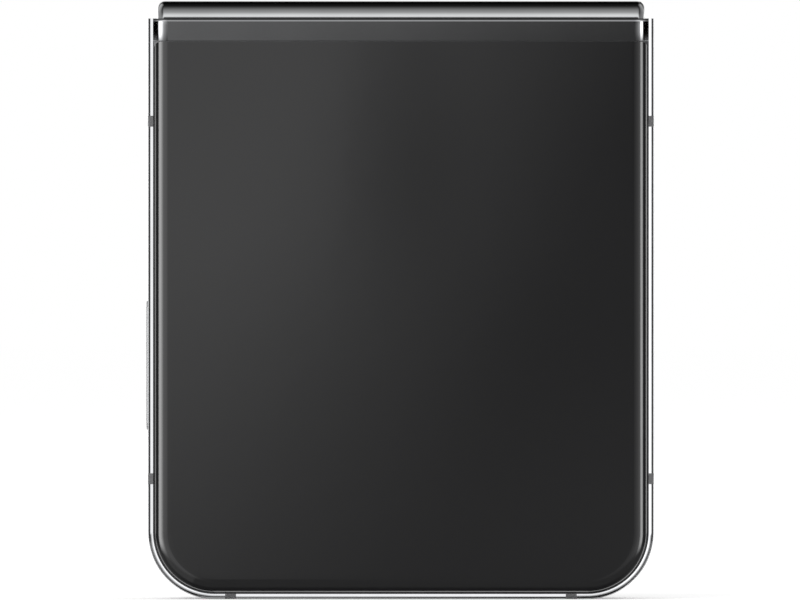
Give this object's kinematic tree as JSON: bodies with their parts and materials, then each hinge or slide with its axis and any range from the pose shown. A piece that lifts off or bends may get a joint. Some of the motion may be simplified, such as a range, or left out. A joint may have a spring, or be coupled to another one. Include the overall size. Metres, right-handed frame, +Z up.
{
  "type": "folding phone",
  "caption": "Slim clamshell phone that folds in half on a geared spine, with a folding inner screen, plain glass back, cover screen and two rear cameras.",
  "frame": {"origin": "middle of the closed phone's footprint, on the surface that it stands on", "axes": "+X to the right of the plain glass back, +Y from that back towards the cover screen, +Z up towards the hinge"},
  "size_m": [0.0723, 0.0159, 0.0851],
  "materials": {
    "frame_metal": "polished, dark grey anodised",
    "spine_metal": "polished, dark grey anodised",
    "break_plastic": "satin plastic filling the frame's breaks",
    "graphite_glass": "opaque dark graphite glass with a curved edge",
    "black_glass": "opaque black cover glass",
    "screen_black": "switched-off screen",
    "bezel_rubber": "soft matt black bezel",
    "black_adhesive": "black adhesive seal",
    "dark_plastic": "moulded black plastic",
    "battery_wrap": "dark film over the cell",
    "ferrite": "dark ferrite sheet",
    "copper": "bare copper winding",
    "circuit_board": "solder mask over laminate",
    "plain_steel": "plain steel",
    "magnet_nickel": "nickel plated magnet",
    "gear_bronze": "sintered bronze",
    "lens_glass": "dark coated lens window",
    "flash_plastic": "pale lens over the light"
  },
  "bodies": {
    "lower_half": {"lower_frame": "frame_metal", "lower_antenna_breaks": "break_plastic", "back_glass": "graphite_glass", "back_glass_seal": "black_adhesive", "lower_carrier": "dark_plastic", "lower_battery": "battery_wrap", "coil_shield": "ferrite", "charging_coil": "copper", "sub_board": "circuit_board", "charging_port": "plain_steel", "loudspeaker": "dark_plastic", "speaker_mesh": "plain_steel", "microphone": "plain_steel", "vibration_motor": "plain_steel", "lower_magnets": "magnet_nickel", "lower_screen": "screen_black", "lower_bezel": "bezel_rubber", "lower_leaf": "plain_steel", "lower_hinge_arms": "plain_steel", "lower_screws": "plain_steel"},
    "spine": {"hinge_cover": "spine_metal", "hinge_blocks": "plain_steel", "gear_shafts": "plain_steel", "friction_washers": "gear_bronze", "screen_bend": "screen_black"},
    "upper_half": {"upper_frame": "frame_metal", "upper_antenna_breaks": "break_plastic", "cover_glass": "black_glass", "cover_glass_seal": "black_adhesive", "cover_screen": "screen_black", "upper_carrier": "dark_plastic", "rear_cameras": "dark_plastic", "camera_rings": "frame_metal", "camera_windows": "lens_glass", "flash_lens": "flash_plastic", "flash_light": "flash_plastic", "upper_battery": "battery_wrap", "main_board": "circuit_board", "board_shields": "plain_steel", "card_reader": "plain_steel", "front_camera": "dark_plastic", "earpiece": "dark_plastic", "upper_magnets": "magnet_nickel", "upper_screen": "screen_black", "upper_bezel": "bezel_rubber", "upper_leaf": "plain_steel", "upper_hinge_arms": "plain_steel", "upper_screws": "plain_steel", "key_switches": "gear_bronze", "key_bracket": "plain_steel"},
    "lower_gears": {"lower_pinions": "gear_bronze"},
    "upper_gears": {"upper_pinions": "gear_bronze"},
    "volume_rocker": {"volume_key": "frame_metal"},
    "power_button": {"power_key": "frame_metal"},
    "card_drawer": {"card_tray": "frame_metal"}
  },
  "joints": [
    {"name": "lower_fold", "type": "hinge", "parent": "lower_half", "child": "spine", "pos_m": [0, -0.0019, 0.08065], "axis": [1, 0, 0], "range_deg": [0, 90], "deforming": ["screen_bend"]},
    {"name": "upper_fold", "type": "hinge", "parent": "spine", "child": "upper_half", "pos_m": [0, 0.0019, 0.08065], "axis": [1, 0, 0], "range_deg": [0, 90], "deforming": ["screen_bend"]},
    {"name": "lower_gear_spin", "type": "hinge", "parent": "spine", "child": "lower_gears", "pos_m": [0, -0.00086, 0.08339], "axis": [1, 0, 0], "range_deg": [0, 216]},
    {"name": "upper_gear_spin", "type": "hinge", "parent": "spine", "child": "upper_gears", "pos_m": [0, 0.00086, 0.08339], "axis": [1, 0, 0], "range_deg": [-216, 0]},
    {"name": "volume_press", "type": "hinge", "parent": "upper_half", "child": "volume_rocker", "pos_m": [-0.03375, 0.0039, 0.0332], "axis": [0, 1, 0], "range_deg": [-1, 1], "stiffness_Nm_per_rad": 0.7},
    {"name": "power_press", "type": "slide", "parent": "upper_half", "child": "power_button", "axis": [1, 0, 0], "range_m": [0, 0.0002], "stiffness_N_per_m": 4000},
    {"name": "tray_slide", "type": "slide", "parent": "upper_half", "child": "card_drawer", "axis": [1, 0, 0], "range_m": [0, 0.024]}
  ],
  "couplings": [
    {"joint": "upper_fold", "follows": "lower_fold", "ratio": 1},
    {"joint": "lower_gear_spin", "follows": "lower_fold", "ratio": 2.4},
    {"joint": "upper_gear_spin", "follows": "lower_fold", "ratio": -2.4}
  ]
}
